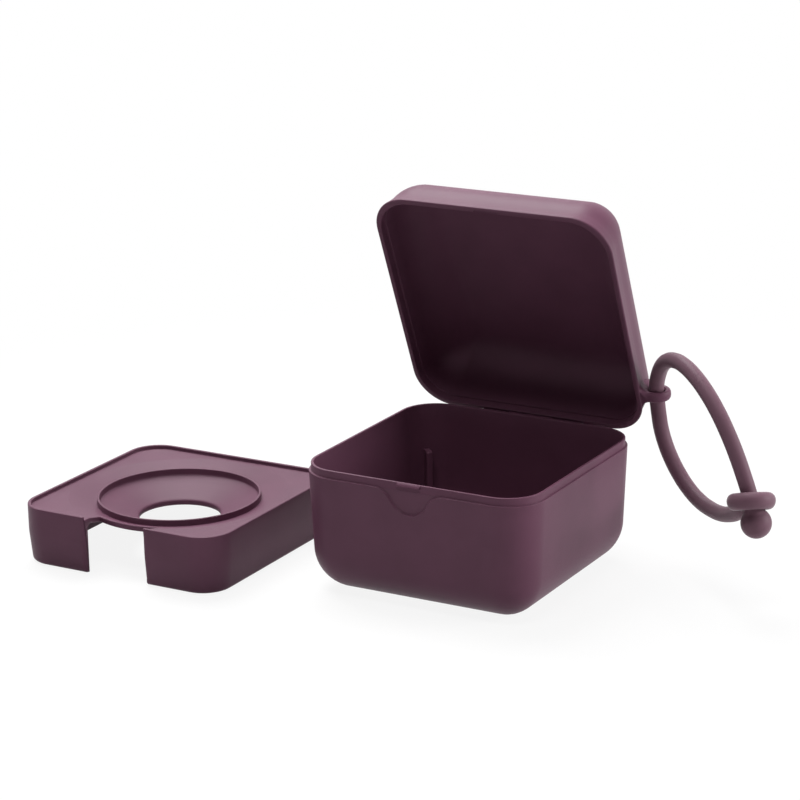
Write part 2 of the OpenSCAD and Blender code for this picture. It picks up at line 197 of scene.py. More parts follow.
def make_camera():
    """Camera of the photograph, which sees the part's origin at ORIGIN_PX."""
    right, up, back = view_axes()
    off_x = (ORIGIN_PX[0] - FRAME_PX / 2) * DISTANCE / FOCAL_PX
    off_y = (FRAME_PX / 2 - ORIGIN_PX[1]) * DISTANCE / FOCAL_PX
    place = (back * DISTANCE - right * off_x - up * off_y) * MM
    data = bpy.data.cameras.new("camera")
    data.sensor_width = SENSOR_W
    data.lens = FOCAL_PX / FRAME_PX * data.sensor_width
    data.clip_start, data.clip_end = 0.05, 20
    camera = linked("camera", data)
    camera.matrix_world = Matrix.Translation(place) @ Matrix((right, up, back)).transposed().to_4x4()
    bpy.context.scene.camera = camera


# ---------------------------------------------------------------- meshes
def linked(name, data):
    """New object of the scene that shows data."""
    obj = bpy.data.objects.new(name, data)
    bpy.context.scene.collection.objects.link(obj)
    return obj


def add_mesh(name, points, faces):
    """New object from points in millimetres."""
    mesh = bpy.data.meshes.new(name)
    mesh.from_pydata([tuple(float(c) * MM for c in p) for p in points], [], faces)
    mesh.validate()
    obj = linked(name, mesh)
    finish_shading(obj)
    return obj


def finish_shading(obj, sharp=40):
    """Turns all faces outwards and shades them smooth, but for edges above an angle in degrees."""
    mesh = obj.data
    tidy = bmesh.new()
    tidy.from_mesh(mesh)
    bmesh.ops.recalc_face_normals(tidy, faces=tidy.faces)
    tidy.to_mesh(mesh)
    tidy.free()
    mesh.shade_smooth()
    mesh.set_sharp_from_angle(angle=math.radians(sharp))


def apply_modifier(obj, kind, **settings):
    """Replaces an object's mesh by what one modifier makes of it."""
    modifier = obj.modifiers.new(kind.lower(), kind)
    for key, value in settings.items():
        setattr(modifier, key, value)
    depsgraph = bpy.context.evaluated_depsgraph_get()
    mesh = bpy.data.meshes.new_from_object(obj.evaluated_get(depsgraph))
    obj.modifiers.clear()
    old, obj.data = obj.data, mesh
    bpy.data.meshes.remove(old)


def cut(obj, *tools):
    """Takes the tools' shapes out of obj and removes the tools."""
    for tool in tools:
        apply_modifier(obj, "BOOLEAN", object=tool, operation="DIFFERENCE", solver="EXACT")
        mesh = tool.data
        bpy.data.objects.remove(tool)
        bpy.data.meshes.remove(mesh)
    finish_shading(obj)


def arc(steps, start=0, end=90):
    """Angles in radians from start to end degrees."""
    return [math.radians(start + (end - start) * i / steps) for i in range(steps + 1)]


def eased(share):
    """Share kept between 0 and 1, with a soft start and end."""
    share = min(max(share, 0), 1)
    return share * share * (3 - 2 * share)


def square_ring(half, corner, z, front_xs=None, side_steps=10, corner_steps=16):
    """Points round a square with round corners, anticlockwise from the right side's front end."""
    flat = half - corner
    ring = []
    for quarter in range(4):
        if quarter == 3 and front_xs is not None:
            along = list(front_xs)
        else:
            along = [flat * (2 * i / side_steps - 1) for i in range(1, side_steps)]
        local = [(half, t) for t in along]
        local += [(flat + corner * math.cos(a), flat + corner * math.sin(a)) for a in arc(corner_steps)]
        turn = math.radians(90 * quarter)
        c, s = math.cos(turn), math.sin(turn)
        ring += [(c * x - s * y, s * x + c * y, z) for x, y in local]
    return ring


def skin(name, rings):
    """Closed solid through rings of equal length, with flat ends."""
    count = len(rings[0])
    points = [p for ring in rings for p in ring]
    faces = [tuple(reversed(range(count)))]
    for k in range(len(rings) - 1):
        for i in range(count):
            a, b = k * count + i, k * count + (i + 1) % count
            faces.append((a, b, b + count, a + count))
    faces.append(tuple(range((len(rings) - 1) * count, len(rings) * count)))
    return add_mesh(name, points, faces)


def bowl_inset(height, edge, draft, full):
    """How far a bowl's wall has moved in at a height: edge is its foot's radius, full its whole height."""
    if height >= edge:
        return draft * (full - height) / (full - edge)
    return draft + edge - math.sqrt(max(edge ** 2 - (edge - height) ** 2, 0))


def drawn_in(half, corner, inset, z):
    """Half width, corner radius and height of a square ring that stands in from its wall's widest place."""
    return half - inset, max(corner - CORNER_LOSS * inset, CORNER_MIN), z


def rounded(half, corner, pairs):
    """Spots of rings, as drawn_in gives, from (distance out, height) pairs beside a square's outline."""
    return [(half + d, max(corner + d, 0.5), z) for d, z in pairs]


def fillet(centre, radius, start, end, steps=4):
    """Arc in a profile's plane: (distance, height) pairs."""
    return [(centre[0] + radius * math.cos(a), centre[1] + radius * math.sin(a))
            for a in arc(steps, start, end)]


def circle(centre, radius, count=64):
    """Points of a closed circle in a profile's plane."""
    return fillet(centre, radius, 0, 360 - 360 / count, count - 1)


def revolved(name, profile, place, count=64):
    """Solid of revolution: profile is (radius, height) from one end of the axis to the other."""
    rings = []
    for radius, height in profile:
        rings.append([(radius * math.cos(t), radius * math.sin(t), height)
                      for t in (2 * math.pi * i / count for i in range(count))])
    obj = skin(name, rings)
    obj.data.transform(place)
    return obj


def loft(name, sections):
    """Solid through closed sections of equal length that go all the way round."""
    size, total = len(sections[0]), len(sections) * len(sections[0])
    faces = []
    for i in range(len(sections)):
        for k in range(size):
            a, b = i * size + k, i * size + (k + 1) % size
            faces.append((a, b, (b + size) % total, (a + size) % total))
    return add_mesh(name, [p for section in sections for p in section], faces)


def moved(x=0, y=0, z=0):
    """Shift in millimetres."""
    return Matrix.Translation((x * MM, y * MM, z * MM))


def turned(degrees, axis):
    """Turn about one of the axes."""
    return Matrix.Rotation(math.radians(degrees), 4, axis)


# Places at rest of the lid, of the eyelet with its hole along Z, and of the loop's plane
LID_POSE = moved(0, *HINGE) @ turned(-LID_OPEN, "X") @ moved(0, -HINGE[0], -HINGE[1])
LUG_POSE = LID_POSE @ moved(*LUG_AT) @ turned(90 - LUG_LEAN, "X")
STRAP_POSE = (LID_POSE @ moved(*LUG_AT) @ turned(-STRAP_LEAN, "X") @ turned(STRAP_SWING, "Y")
              @ turned(90, "X"))


# ---------------------------------------------------------------- base
def thumb_distance(x, z):
    """Signed distance to the thumb recess's outline in the front wall, negative inside."""
    x = abs(x)
    centre, shoulder = np.array((0, THUMB_Z)), np.array((SHOULDER_X, SHOULDER_Z))
    to_shoulder, to_point = shoulder - centre, np.array((x, z)) - centre
    if to_shoulder[0] * to_point[1] - to_shoulder[1] * to_point[0] < 0:
        return math.hypot(*to_point) - THUMB_R
    return SHOULDER_R - math.hypot(x - SHOULDER_X, z - SHOULDER_Z)


def press_thumb_recess(ring):
    """Moves a ring's points on the front wall back to the recess's floor."""
    soft_edge, reach = 0.10, 0.36
    sag_height, sag = 0.3, 0.25  # the points just under the ledge sink a little as they move back
    near = 0.02  # slack of the tests for the front wall and the ledge
    pressed = []
    for x, y, z in ring:
        on_wall = y < -LIP_HALF + near + BASE_DRAFT and z <= LEDGE_Z + near / 2
        if on_wall and abs(x) < SHOULDER_X + 1:
            share = eased((soft_edge - thumb_distance(x, min(z, LEDGE_Z))) / reach)
            floor_y = -LIP_HALF + bowl_inset(z, BASE_EDGE, BASE_DRAFT, LEDGE_Z)
            if y < floor_y:
                z -= sag * max(z - LEDGE_Z + sag_height, 0) * (floor_y - y) * share
                y += (floor_y - y) * share
        pressed.append((x, y, z))
    return pressed


def base_rings():
    """Rings of the base from its underside, round the ledge and the lip, to the floor inside."""
    fine_xs = np.arange(-FINE_HALF, FINE_HALF + 0.001, FINE)
    front_xs = [-24, -21, -18, -15.5, *fine_xs, 15.5, 18, 21, 24]
    spots = []  # half width, corner radius, height
    for a in reversed(arc(14)):
        inset = BASE_DRAFT + BASE_EDGE * (1 - math.cos(a))
        spots.append(drawn_in(BASE_HALF, CASE_CORNER, inset, BASE_EDGE * (1 - math.sin(a))))
    fine_low = LEDGE_Z - FINE_DEPTH
    coarse_low, coarse = 16, 3
    fine_high = LEDGE_Z - 0.3
    for z in [*np.arange(coarse_low, fine_low, coarse), *np.arange(fine_low, fine_high, FINE)]:
        inset = bowl_inset(z, BASE_EDGE, BASE_DRAFT, LEDGE_Z)
        spots.append(drawn_in(BASE_HALF, CASE_CORNER, inset, z))

    ledge = fillet((-LEDGE_SOFT, LEDGE_Z - LEDGE_SOFT), LEDGE_SOFT, 0, 90)
    foot = fillet((LIP_FOOT, LEDGE_Z + LIP_FOOT), LIP_FOOT, 270, 180, 3)
    lip_out = fillet((-LIP_SOFT, LIP_TOP - LIP_SOFT), LIP_SOFT, 0, 90)
    lip_in = [(CAVITY_SOFT - x, z) for x, z in fillet((0, LIP_TOP - CAVITY_SOFT), CAVITY_SOFT, 90, 0)]
    spots += rounded(BASE_HALF, CASE_CORNER, ledge)
    spots += rounded(LIP_HALF, LIP_CORNER, foot + lip_out)
    spots += rounded(CAVITY_HALF, CAVITY_CORNER, lip_in)

    for z in (36, 31, 26, 21, 17):
        inset = bowl_inset(z - FLOOR_T, CAVITY_EDGE, BASE_DRAFT, LIP_TOP - FLOOR_T)
        spots.append(drawn_in(CAVITY_HALF, CAVITY_CORNER, inset, z))
    for a in arc(14):
        inset = BASE_DRAFT + CAVITY_EDGE * (1 - math.cos(a))
        spots.append(drawn_in(CAVITY_HALF, CAVITY_CORNER, inset, FLOOR_T + CAVITY_EDGE * (1 - math.sin(a))))
    return [press_thumb_recess(square_ring(h, c, z, front_xs)) for h, c, z in spots]


def base_shell(plastic):
    """Bowl with ledge, lip and thumb recess, with room for the lid's knuckle."""
    shell = skin("base_shell", base_rings())
    cut(shell, hinge_tool("relief", 0, LID_KNUCKLE_W + 2 * KNUCKLE_GAP))
    dress(shell, plastic, "base")
    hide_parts("base")


def to_corner(half, corner):
    """Distance from the middle of a rounded square to its corner."""
    return (half - corner * (1 - math.cos(math.radians(45)))) * math.sqrt(2)


def corner_ribs(plastic):
    """Fins in the inside corners that carry the tray."""
    sunk, soft_top = 0.5, 0.6
    outline = []  # distance along the diagonal, height
    for z in (RIB_TOP, 22, 18, 14, 11, 8.5, 6.5, 5, 4):
        inset = bowl_inset(z - FLOOR_T, CAVITY_EDGE, BASE_DRAFT, LIP_TOP - FLOOR_T)
        half, corner, _ = drawn_in(CAVITY_HALF, CAVITY_CORNER, inset, z)
        outline.append((to_corner(half, corner) + sunk, z))
    inner = to_corner(CAVITY_HALF, CAVITY_CORNER) - RIB_REACH
    outline.append((inner, outline[-1][1]))
    outline += fillet((inner + soft_top, RIB_TOP - soft_top), soft_top, 180, 90)
    for i, angle in enumerate((45, 135, 225, 315)):
        rib = extruded(f"corner_rib_{i + 1}", outline, -RIB_T / 2, RIB_T / 2, soft=0.25)
        rib.data.transform(turned(angle, "Z") @ turned(90, "X"))
        dress(rib, plastic, "base")


def outline_normals(outline):
    """Inward unit normals of a closed outline that runs anticlockwise."""
    pts = np.array(outline, float)
    ahead, behind = np.roll(pts, -1, 0) - pts, pts - np.roll(pts, 1, 0)
    normals = []
    for a, b in zip(ahead, behind):
        a = a / max(np.linalg.norm(a), 1e-9)
        b = b / max(np.linalg.norm(b), 1e-9)
        n = np.array((-a[1] - b[1], a[0] + b[0]))
        normals.append(n / max(np.linalg.norm(n), 1e-9))
    return np.array(normals)


def area(outline):
    """Area of an outline, positive where it runs anticlockwise."""
    pts = np.array(outline, float)
    nxt = np.roll(pts, -1, 0)
    return float((pts[:, 0] * nxt[:, 1] - nxt[:, 0] * pts[:, 1]).sum() / 2)


def extruded(name, outline, low, high, soft=0, bore=None):
    """Prism along the third axis, its ends softened by soft. bore is (centre, radius) of a hole along it."""
    outline = [tuple(p) for i, p in enumerate(outline) if i == 0 or math.dist(p, outline[i - 1]) > 1e-4]
    if area(outline) < 0:
        outline.reverse()
    pts, inward = np.array(outline, float), outline_normals(outline)
    rings = [(low + soft * (1 - math.cos(a)), soft * (1 - math.sin(a))) for a in arc(3)]
    rings += [(high - (z - low), inset) for z, inset in reversed(rings)]
    stack = [[(*q, z) for q in pts + inward * inset] for z, inset in rings]
    if bore is None:
        return skin(name, stack)
    centre, radius = np.array(bore[0], float), bore[1]
    rays = pts - centre
    hole = centre + radius * rays / np.linalg.norm(rays, axis=1)[:, None]
    return loft(name, [[(*q, low) for q in hole]] + stack + [[(*q, high) for q in hole]])


def along_x():
    """Turns a prism drawn in (Y, Z) with its length third so that the length runs along X."""
    return Matrix(((0, 0, 1, 0), (1, 0, 0, 0), (0, 1, 0, 0), (0, 0, 0, 1)))


def hinge_tool(name, middle, width):
    """Plain cylinder on the hinge axis, which cuts the room for a knuckle."""
    tool = extruded(name, circle(HINGE, RELIEF_R), middle - width / 2, middle + width / 2)
    tool.data.transform(along_x())
    return tool


def hull_outline(low, high):
    """Convex outline, closely spaced, round a knuckle and a rectangle between two (Y, Z) corners."""
    spacing = 0.5
    corners = circle(HINGE, KNUCKLE_R, 72)
    corners += [(low[0], low[1]), (high[0], low[1]), (high[0], high[1]), (low[0], high[1])]
    order = convex_hull_2d([Vector(c) for c in corners])
    hull = [corners[i] for i in order]
    spaced = []
    for a, b in zip(hull, hull[1:] + hull[:1]):
        steps = max(1, int(math.dist(a, b) / spacing))
        spaced += [(a[0] + (b[0] - a[0]) * i / steps, a[1] + (b[1] - a[1]) * i / steps)
                   for i in range(steps)]
    return spaced


def base_knuckles(plastic):
    """Outer knuckles of the hinge with the brackets that hold them."""
    top = HINGE[1] - BRACKET_DROP
    outline = hull_outline((BASE_HALF - 1, top - BRACKET_H), (BASE_HALF - 0.3, top))
    for side, sign in (("left", -1), ("right", 1)):
        ends = sorted((sign * HINGE_W / 2, sign * (HINGE_W / 2 - SIDE_KNUCKLE_W)))
        knuckle = extruded(f"base_knuckle_{side}", outline, *ends, soft=0.3, bore=(HINGE, PIN_R + PIN_SEAT))
        knuckle.data.transform(along_x())
        dress(knuckle, plastic, "base")


def catch_bead(plastic):
    """Wedge on the lip's front that the closed lid snaps over."""
    low = LIP_TOP - CATCH_H
    root, tip = -LIP_HALF + 0.2, -LIP_HALF - CATCH_OUT
    outline = [(root, low), (tip + 0.12, low + 0.24), (tip, low + 0.4), (tip + 0.05, low + 0.58),
               (-LIP_HALF + 0.02, LIP_TOP - 0.12), (root, LIP_TOP - 0.06)]
    bead = extruded("catch_bead", outline, -CATCH_HALF, CATCH_HALF, soft=0.12)
    bead.data.transform(along_x())
    dress(bead, plastic, "base")


# ---------------------------------------------------------------- lid
def lid_rings():
    """Rings of the closed lid from the outside of its top, round the rim, to the inside of its top."""
    spots = []
    for a in reversed(arc(16)):
        inset = LID_DRAFT + LID_EDGE * (1 - math.cos(a))
        spots.append(drawn_in(LID_HALF, LID_CORNER, inset, LID_H - LID_EDGE * (1 - math.sin(a))))
    for h in (4, 2.5, 1.2):
        spots.append(drawn_in(LID_HALF, LID_CORNER, LID_DRAFT * h / (LID_H - LID_EDGE), h))

    rebate_half, rebate_corner = LIP_HALF + LIP_CLEAR, LIP_CORNER + LIP_CLEAR
    inner_half, inner_corner = LID_HALF - LID_WALL, LID_CORNER - LID_WALL
    rim = fillet((-RIM_SOFT, RIM_SOFT), RIM_SOFT, 0, -90)
    mouth = fillet((MOUTH_SOFT, MOUTH_SOFT), MOUTH_SOFT, 270, 180)
    top = fillet((-REBATE_SOFT, REBATE_H - REBATE_SOFT), REBATE_SOFT, 0, 90, 2)
    step = fillet((STEP_SOFT, REBATE_H + STEP_SOFT), STEP_SOFT, 270, 180, 3)
    spots += rounded(LID_HALF, LID_CORNER, rim)
    spots += rounded(rebate_half, rebate_corner, mouth + top)
    spots += rounded(inner_half, inner_corner, step)

    inner_edge = LID_EDGE - LID_WALL
    for a in arc(16):
        inset = LID_IN_DRAFT + inner_edge * (1 - math.cos(a))
        z = LID_H - LID_TOP_T - inner_edge * (1 - math.sin(a))
        spots.append(drawn_in(inner_half, inner_corner, inset, z))
    return [square_ring(h, c, RIM_Z + z) for h, c, z in spots]


def lid_shell(plastic):
    """Opened cover with a rebate, room for the base's knuckles and a pocket for the catch bead."""
    shell = skin("lid_shell", lid_rings())
    out, back = -LIP_HALF - CATCH_OUT - LIP_CLEAR, -LIP_HALF + 0.5
    low, high = RIM_Z - 1, RIM_Z + REBATE_H
    pocket = extruded("pocket", [(out, low), (back, low), (back, high), (out, high)],
                      -CATCH_HALF - POCKET_GAP, CATCH_HALF + POCKET_GAP)
    pocket.data.transform(along_x())
    middle = (HINGE_W - SIDE_KNUCKLE_W) / 2
    reliefs = [hinge_tool(f"relief_{side}", sign * middle, SIDE_KNUCKLE_W + 2 * KNUCKLE_GAP)
               for side, sign in (("left", -1), ("right", 1))]
    cut(shell, pocket, *reliefs)
    shell.data.transform(LID_POSE)
    dress(shell, plastic, "lid")
    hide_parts("lid")


def lid_knuckle(plastic):
    """Middle knuckle of the hinge with the arm that holds it."""
    low = RIM_Z + ARM_RISE
    outline = hull_outline((LID_HALF - 1, low), (LID_HALF - 0.4, low + ARM_H))
    knuckle = extruded("lid_knuckle", outline, -LID_KNUCKLE_W / 2, LID_KNUCKLE_W / 2, soft=0.3,
                       bore=(HINGE, PIN_R + PIN_CLEAR))
    knuckle.data.transform(LID_POSE @ along_x())
    dress(knuckle, plastic, "lid")


def lid_wall_x(rise):
    """Distance of the closed lid's outer side wall from the middle at a height above its rim."""
    return LID_HALF - bowl_inset(LID_H - rise, LID_EDGE, LID_DRAFT, LID_H)


def root_flare(x, y, h):
    """How far a point of the eyelet swells out where it runs into the lid's wall."""
    lean = math.radians(90 - LUG_LEAN)
    rise = LUG_AT[2] + y * math.sin(lean) + h * math.cos(lean) - RIM_Z
    off = min(max(LUG_AT[0] + x - lid_wall_x(max(rise, 0)), 0), LUG_FILLET)
    return LUG_FILLET - math.sqrt(LUG_FILLET ** 2 - (LUG_FILLET - off) ** 2)


def web_section(far, steps=16):
    """Upper half of the eyelet's section from its hole out to a distance, with round edges.

    Gives (distance, height, outward share, upward share) for each point."""
    soft, half = LUG_RING_T / 2, LUG_LEN / 2
    blunt = 0.94  # below 1, the outer edge stops short of a full quarter turn and stays blunt
    bend = soft * math.pi / 2
    inner, outer = LUG_HOLE_R + soft, far - soft
    rows = []
    for k in range(steps + 1):
        run = (2 * bend + outer - inner) * k / steps
        if run < bend:
            a = run / soft
            rows.append((inner - soft * math.cos(a), half - soft * (1 - math.sin(a)), 0, math.sin(a)))
        elif run > bend + outer - inner:
            a = (run - bend - (outer - inner)) / soft
            rows.append((outer + soft * math.sin(a), half * math.cos(blunt * a), math.sin(a), math.cos(a)))
        else:
            rows.append((inner + run - bend, half, 0, 1))
    return rows


def strap_lug(plastic):
    """D-shaped eyelet on the lid's side, flared into the wall, with the strap's hole through it."""
    lean = math.radians(90 - LUG_LEAN)
    lowest = RIM_Z + LUG_RIM_GAP - LUG_AT[2]
    around = 144
    sections = []
    for i in range(around):
        t = 2 * math.pi * i / around
        c, s = math.cos(t), math.sin(t)
        far = LUG_R if c >= 0 else min(LUG_R / max(abs(s), 1e-6), LUG_ROOT / -c)
        upper = web_section(far)
        section = []
        for r, h, side, up in upper + [(r, -h, side, -up) for r, h, side, up in reversed(upper)]:
            x, y = r * c, r * s
            flare = root_flare(x, y, h) if c < 0 else 0
            y += flare * side * s
            h += flare * up
            sink = max(lowest - (y * math.sin(lean) + h * math.cos(lean)), 0)
            section.append((x, y + sink * math.sin(lean), h + sink * math.cos(lean)))
        sections.append(section)
    lug = loft("strap_eyelet", sections)
    lug.data.transform(LUG_POSE)
    dress(lug, plastic, "lid")
    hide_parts("strap_lug")


# ---------------------------------------------------------------- strap
def strap_point(out, along):
    """Place in the scene of a point of the loop's plane."""
    return STRAP_POSE @ Vector((out * MM, 0, along * MM))


def strap_cord(silicone):
    """Round cord along the route."""
    curve = bpy.data.curves.new("strap_loop", "CURVE")
    curve.dimensions = "3D"
    curve.resolution_u = 8
    curve.bevel_depth = CORD_D / 2 * MM
    curve.bevel_resolution = 8
    curve.use_fill_caps = True
    spline = curve.splines.new("BEZIER")
    spline.bezier_points.add(len(STRAP_ROUTE) - 1)
    for knot, (out, along) in zip(spline.bezier_points, STRAP_ROUTE):
        knot.co = strap_point(out, along)
        knot.handle_left_type = knot.handle_right_type = "AUTO"
    loop = linked("strap_loop", curve)
    dress(loop, silicone, "strap")
    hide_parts("strap_cord")
    return loop


def strap_ball(silicone):
    """Ball on the strap's end with a short neck up the cord."""
    r = BALL_D / 2
    neck = CORD_D / 2 + NECK_PROUD
    pole = 0.02
    profile = [(pole, -r)]
    profile += [(r * math.sin(a), -r * math.cos(a)) for a in arc(20, 6, 138)]
    profile += [(neck + 0.45, 4.15), (neck + 0.16, 4.7), (neck, 5.6), (neck, NECK_TOP), (pole, NECK_TOP)]
    middle, above = (strap_point(*p) for p in STRAP_ROUTE[:2])
    aim = (above - middle).to_track_quat("Z", "Y").to_matrix().to_4x4()
    ball = revolved("strap_ball_end", profile, Matrix.Translation(middle) @ aim)
    dress(ball, silicone, "strap")
    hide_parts("strap_ball")
    return ball


def strap_eye(silicone):
    """Thick collar that the ball is pulled through, melted into the end of the cord."""
    place = STRAP_POSE @ moved(EYE_AT[0], 0, EYE_AT[1])
    place = place @ turned(EYE_TIP[1], "Y") @ turned(EYE_TIP[0], "X")
    ring_r, tube_r = (EYE_HOLE + EYE_T) / 2, EYE_T / 2
    count, sides, beads = 64, 24, 6
    build = bmesh.new()
    verts = []
    for i in range(count):
        t = 2 * math.pi * i / count
        section = []
        for k in range(sides):
            s = 2 * math.pi * k / sides
            out = ring_r + tube_r * math.cos(s)
            rise = (EYE_HIGH if s < math.pi else EYE_LOW) * math.sin(s)
            point = Vector((out * math.cos(t) * MM, out * math.sin(t) * MM, rise * MM))
            section.append(build.verts.new(place @ point))
        verts.append(section)
    for i in range(count):
        here, ahead = verts[i], verts[(i + 1) % count]
        for k in range(sides):
            after = (k + 1) % sides
            build.faces.new((here[k], here[after], ahead[after], ahead[k]))
    stub = [strap_point(*p) for p in STRAP_ROUTE[-EYE_STUB:]]
    for a, b in zip(stub, stub[1:]):
        for step in range(beads):
            bmesh.ops.create_icosphere(build, subdivisions=3, radius=CORD_D / 2 * MM,
                                       matrix=Matrix.Translation(a.lerp(b, step / beads)))
    mesh = bpy.data.meshes.new("strap_eye_end")
    build.to_mesh(mesh)
    build.free()
    eye = linked("strap_eye_end", mesh)
    apply_modifier(eye, "REMESH", mode="VOXEL", voxel_size=MELT_VOXEL * MM, adaptivity=0)
    apply_modifier(eye, "SMOOTH", factor=MELT_FACTOR, iterations=MELT_PASSES)
    finish_shading(eye, 80)
    dress(eye, silicone, "strap")
    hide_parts("strap_eye")
    return eye


# ---------------------------------------------------------------- tray
def dish_z(r):
    """Height of the deck's top at a distance from the middle, outside the ring."""
    slope = (DECK_Z - RING_Z) / (DISH_R - RING_R)
    blend = 0.6
    if r <= DISH_R - blend:
        return DECK_Z - slope * (DISH_R - r)
    if r >= DISH_R + blend:
        return DECK_Z
    return DECK_Z - slope * (DISH_R + blend - r) ** 2 / (4 * blend)


def under_z(r):
    """Height of the deck's underside."""
    if r >= RING_R:
        return dish_z(r) - DECK_T
    share = (r - HOLE_R) / (RING_R - HOLE_R)
    return HOLE_Z - DECK_T + (RING_Z - HOLE_Z) * share


class Column:
    """One radial cut through the tray: the side or corner that it ends on, and its place along that."""

    def __init__(self, kind, value):
        self.kind, self.value = kind, value

    def square(self, inset, x_shift=0.0):
        """Plan point on the rounded square moved in by inset, and on the front out by x_shift."""
        half, flat = TRAY_HALF - inset, TRAY_HALF - TRAY_CORNER
        kind, t = self.kind, self.value
        if kind == "front":
            return (t + math.copysign(x_shift, t), -half)
        if kind == "right":
            return (half, t)
        if kind == "back":
            return (t, half)
        if kind == "left":
            return (-half, t)
        x = flat if kind in ("front_right", "back_right") else -flat
        y = flat if kind in ("back_right", "back_left") else -flat
        radius = TRAY_CORNER - inset
        return (x + radius * math.cos(t), y + radius * math.sin(t))

    def circle(self, r):
        """Plan point at distance r from the middle, bent beside the notch so that lines follow its side."""
        x, y = self.square(RIM_W)
        angle = math.atan2(y, x)
        if self.kind != "front":
            return (r * math.cos(angle), r * math.sin(angle))
        share = eased((BEND_HALF - abs(self.value)) / (BEND_HALF - NOTCH_EDGE_X))
        plain_edge = math.atan2(NOTCH_EDGE_X, TRAY_HALF - RIM_W)
        lean = math.atan2(abs(x), -y) + share * (NOTCH_ANGLE - plain_edge)
        inner_x = min(r, NOTCH_R) * math.sin(lean)
        if r > NOTCH_R:
            far = math.hypot(x, y)
            inner_x += (abs(x) - inner_x) * (r - NOTCH_R) / (far - NOTCH_R)
        return (math.copysign(inner_x, self.value), -math.sqrt(r * r - inner_x * inner_x))


def tray_columns():
    """Columns anticlockwise from the notch's right side round the back to its left side."""
    flat = TRAY_HALF - TRAY_CORNER
    turn = 14
    front = [NOTCH_EDGE_X, 12.6, 14.2, 16, 18, 20.4, 23, 25.4]
    side = [flat * (i / 6 - 1) for i in range(1, 12)]
    columns = [Column("front", x) for x in front]
    columns += [Column("front_right", a) for a in arc(turn, -90, 0)]
    columns += [Column("right", y) for y in side]
    columns += [Column("back_right", a) for a in arc(turn, 0, 90)]
    columns += [Column("back", -y) for y in side]
    columns += [Column("back_left", a) for a in arc(turn, 90, 180)]
    columns += [Column("left", -y) for y in side]
    columns += [Column("front_left", a) for a in arc(turn, 180, 270)]
    columns += [Column("front", -x) for x in reversed(front)]
    return columns


def inner_stations():
    """(distance, height) inside the notch's arc, from the deck's underside round the hole to its top."""
    low, high = HOLE_Z - DECK_T, HOLE_Z
    inside, top = RING_R - RING_W, RING_Z + RING_H
    cone = (RING_Z - HOLE_Z) / (inside - HOLE_R)
    soft = 0.25
    under = [(r, under_z(r)) for r in (RING_R, 22, 17, HOLE_R + 0.9)]
    hole = [(HOLE_R + 0.35, low + 0.1), (HOLE_R + 0.1, low + 0.3), (HOLE_R, low + 0.6),
            (HOLE_R, high - 0.35), (HOLE_R + 0.12, high - 0.1)]
    bowl = [(HOLE_R + d, high + cone * d) for d in (0.45, 1, 4, 8)]
    bowl += [(inside - 0.35, RING_Z - cone * 0.35), (inside - 0.08, RING_Z + 0.06)]
    ring = [(inside, RING_Z + 0.3)]
    ring += [(inside + soft + d, z) for d, z in fillet((0, top - soft), soft, 180, 90, 3)]
    ring += [(RING_R - soft + d, z) for d, z in fillet((0, top - soft), soft, 90, 0, 3)]
    ring += [(RING_R, RING_Z + 0.3), (RING_R + 0.08, RING_Z + 0.1)]
    return under + hole + bowl + ring + [(r, dish_z(r)) for r in (RING_R + 0.35, 28.4)]


def outer_stations(column, at_notch):
    """Points beyond the notch's arc, from the deck's top over rim and skirt to the deck's underside.

    Each is (x, y, height, radius of the notch's side edge there). At the notch they stand back from
    its side by that radius."""
    rows = []

    def on_circle(r, z):
        rows.append((*column.circle(r), z, NOTCH_SOFT))

    def on_square(inset, z=None, soft=NOTCH_SOFT):
        x, y = column.square(inset, soft - NOTCH_SOFT if at_notch else 0.0)
        rows.append((x, y, dish_z(math.hypot(x, y)) if z is None else z, soft))

    for r in (31.5, 33.5, DISH_R - 0.6, DISH_R):
        on_circle(r, dish_z(r))
    rim_foot = 0.2
    on_square(RIM_W + rim_foot)
    on_square(RIM_W + 0.06, DECK_Z + 0.06)
    on_square(RIM_W, DECK_Z + rim_foot)
    for d, z in fillet((RIM_W - 0.3, TRAY_H - 0.3), 0.3, 0, 90, 3):
        on_square(d, z, 0.45)
    for d, z in fillet((0.35, TRAY_H - 0.35), 0.35, 90, 180):
        on_square(d, z, 0.8)

    skirt_soft = 1.2
    lean = SKIRT_DRAFT / (SKIRT_LEAN_H - SKIRT_EDGE)
    for z in (16, 13.2, SKIRT_LEAN_H + 0.8):
        on_square(0, z, skirt_soft)
    for z in (SKIRT_LEAN_H - 0.8, 7, 4.4, 2.2):
        on_square(lean * (SKIRT_LEAN_H - z), z, skirt_soft)
    for a in arc(6):
        inset = SKIRT_DRAFT + SKIRT_EDGE * (1 - math.cos(a))
        foot_soft = 1.0 - 0.5 * a / 1.6  # fades to about a half round the foot
        on_square(inset, SKIRT_EDGE * (1 - math.sin(a)), foot_soft)

    inside_soft, web_r = 0.4, 2.0
    for d, z in fillet((SKIRT_T - 0.25, 0.25), 0.25, 270, 360, 3):
        on_square(d, z, inside_soft)
    for z in (4, 8, 11.5):
        on_square(SKIRT_T, z, inside_soft)
    for d, z in fillet((SKIRT_T + web_r, DECK_Z - DECK_T - web_r), web_r, 180, 90, 5):
        on_square(d, z, inside_soft)
    near_r, last_r = 32.6, 31.2
    x, y = column.square(SKIRT_T + web_r + 0.6)
    if math.hypot(x, y) > near_r + 1:
        rows.append((x, y, under_z(math.hypot(x, y)), NOTCH_SOFT))
    else:
        on_circle(near_r, under_z(near_r))
    on_circle(last_r, under_z(last_r))
    return rows


